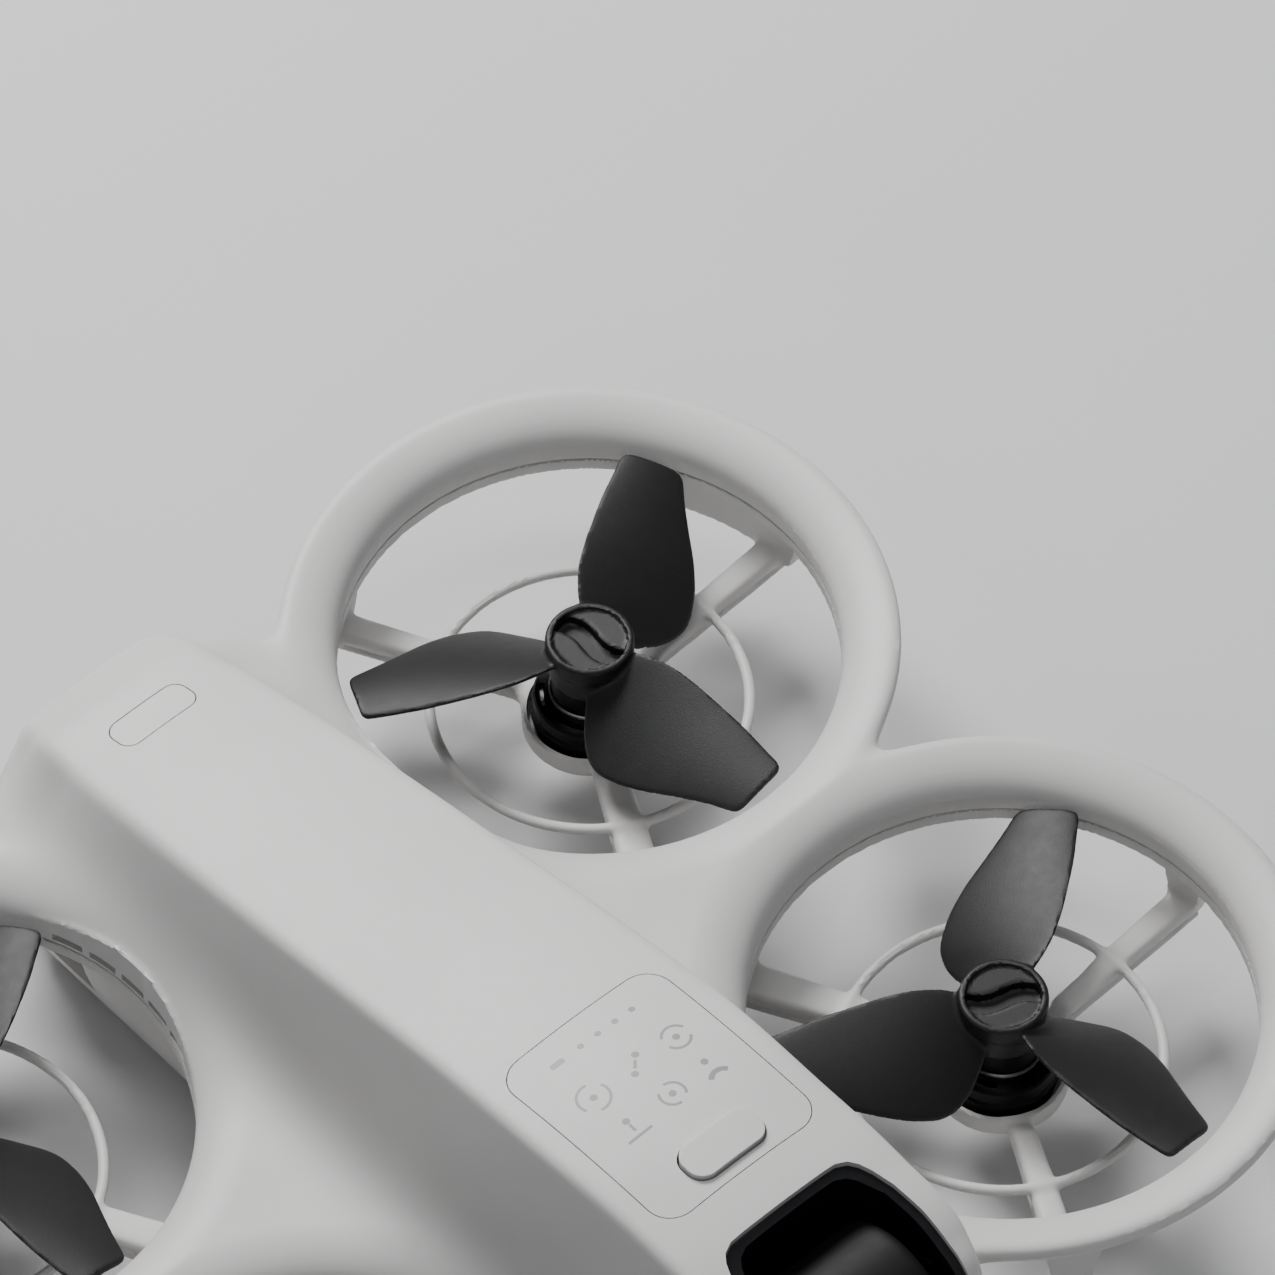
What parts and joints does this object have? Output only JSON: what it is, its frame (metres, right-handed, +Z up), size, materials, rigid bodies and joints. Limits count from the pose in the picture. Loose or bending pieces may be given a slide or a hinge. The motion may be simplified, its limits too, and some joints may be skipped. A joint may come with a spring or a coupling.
{
  "type": "fpv racing drone",
  "caption": "Palm-sized ducted four-rotor drone with an arched central hull, paddle-blade propellers in bell-mouthed guards, a tilting nose camera, key panel and slide-out battery.",
  "frame": {"origin": "centre of the bounding box at its base, on the floor the hull stands on", "axes": "+X to the port side, -Y to the nose, +Z up"},
  "size_m": [0.1568, 0.13, 0.049],
  "materials": {
    "shell_plastic": "fine satin texture",
    "frame_plastic": "fine matte texture",
    "battery_plastic": "fine matte texture",
    "propeller_plastic": "soft grain",
    "black_plastic": "matte",
    "camera_black": "polished",
    "dark_window": "polished",
    "light_window": "translucent satin",
    "lens_glass": "coated",
    "motor_metal": "black anodised",
    "winding_copper": "lacquered wire",
    "magnet_metal": "plated",
    "screw_steel": "plated",
    "bracket_metal": "anodised",
    "shield_metal": "tinned",
    "heat_sink_metal": "milled",
    "contact_metal": "gold plated",
    "cell_foil": "laminated foil",
    "circuit_board": "solder mask",
    "damper_rubber": "soft"
  },
  "bodies": {
    "airframe": {"upper_shell": "shell_plastic", "control_panel": "shell_plastic", "status_lights": "light_window", "lower_frame": "frame_plastic", "duct_mounts": "frame_plastic", "shell_screws": "screw_steel", "motor_screws": "screw_steel", "cavity_liner": "black_plastic", "gimbal_bracket": "bracket_metal", "tilt_motor": "motor_metal", "damper_balls": "damper_rubber", "main_board": "circuit_board", "processor_shield": "shield_metal", "heat_sink": "heat_sink_metal", "battery_connector": "black_plastic", "usb_socket": "shield_metal", "panel_board": "circuit_board", "power_key_board": "circuit_board", "mode_switch": "black_plastic", "power_switch": "black_plastic", "downward_camera": "black_plastic", "downward_lens": "lens_glass", "range_windows": "dark_window", "motor_base_rear_left": "motor_metal", "motor_stator_rear_left": "winding_copper", "motor_base_rear_right": "motor_metal", "motor_stator_rear_right": "winding_copper", "motor_base_front_left": "motor_metal", "motor_stator_front_left": "winding_copper", "motor_base_front_right": "motor_metal", "motor_stator_front_right": "winding_copper"},
    "rotor_rear_left": {"propeller_rear_left": "propeller_plastic", "motor_bell_rear_left": "motor_metal", "motor_magnets_rear_left": "magnet_metal", "motor_shaft_rear_left": "screw_steel"},
    "rotor_rear_right": {"propeller_rear_right": "propeller_plastic", "motor_bell_rear_right": "motor_metal", "motor_magnets_rear_right": "magnet_metal", "motor_shaft_rear_right": "screw_steel"},
    "rotor_front_left": {"propeller_front_left": "propeller_plastic", "motor_bell_front_left": "motor_metal", "motor_magnets_front_left": "magnet_metal", "motor_shaft_front_left": "screw_steel"},
    "rotor_front_right": {"propeller_front_right": "propeller_plastic", "motor_bell_front_right": "motor_metal", "motor_magnets_front_right": "magnet_metal", "motor_shaft_front_right": "screw_steel"},
    "camera": {"camera_housing": "camera_black", "lens_barrel": "camera_black", "lens_glass": "lens_glass", "camera_sensor": "circuit_board", "tilt_shaft": "screw_steel"},
    "mode_key": {"mode_button": "shell_plastic"},
    "power_key": {"power_button": "shell_plastic"},
    "battery": {"battery_case": "battery_plastic", "battery_contacts": "contact_metal", "battery_cells": "cell_foil", "battery_board": "circuit_board"},
    "latch_left": {"battery_latch_left": "battery_plastic"},
    "latch_right": {"battery_latch_right": "battery_plastic"}
  },
  "joints": [
    {"name": "spin_rear_left", "type": "hinge", "parent": "airframe", "child": "rotor_rear_left", "pos_m": [0.0447, 0.0325, 0.0204], "axis": [0, 0, 1], "continuous": true},
    {"name": "spin_rear_right", "type": "hinge", "parent": "airframe", "child": "rotor_rear_right", "pos_m": [-0.0447, 0.0325, 0.0204], "axis": [0, 0, 1], "continuous": true},
    {"name": "spin_front_left", "type": "hinge", "parent": "airframe", "child": "rotor_front_left", "pos_m": [0.0459, -0.0295, 0.0204], "axis": [0, 0, 1], "continuous": true},
    {"name": "spin_front_right", "type": "hinge", "parent": "airframe", "child": "rotor_front_right", "pos_m": [-0.0459, -0.0295, 0.0204], "axis": [0, 0, 1], "continuous": true},
    {"name": "camera_tilt", "type": "hinge", "parent": "airframe", "child": "camera", "pos_m": [0, -0.0553, 0.0365], "axis": [1, 0, 0], "range_deg": [-60, 90]},
    {"name": "mode_press", "type": "slide", "parent": "airframe", "child": "mode_key", "axis": [0, 0, -1], "range_m": [0, 0.0004], "stiffness_N_per_m": 1500, "springref_m": -0.0002},
    {"name": "power_press", "type": "slide", "parent": "airframe", "child": "power_key", "axis": [0, 0, -1], "range_m": [0, 0.0004], "stiffness_N_per_m": 1500, "springref_m": -0.0002},
    {"name": "battery_slide", "type": "slide", "parent": "airframe", "child": "battery", "axis": [0, 1, 0], "range_m": [0, 0.062]},
    {"name": "latch_left_press", "type": "slide", "parent": "battery", "child": "latch_left", "axis": [-1, 0, 0], "range_m": [0, 0.0008], "stiffness_N_per_m": 1500, "springref_m": -0.0002},
    {"name": "latch_right_press", "type": "slide", "parent": "battery", "child": "latch_right", "axis": [1, 0, 0], "range_m": [0, 0.0008], "stiffness_N_per_m": 1500, "springref_m": -0.0002}
  ]
}
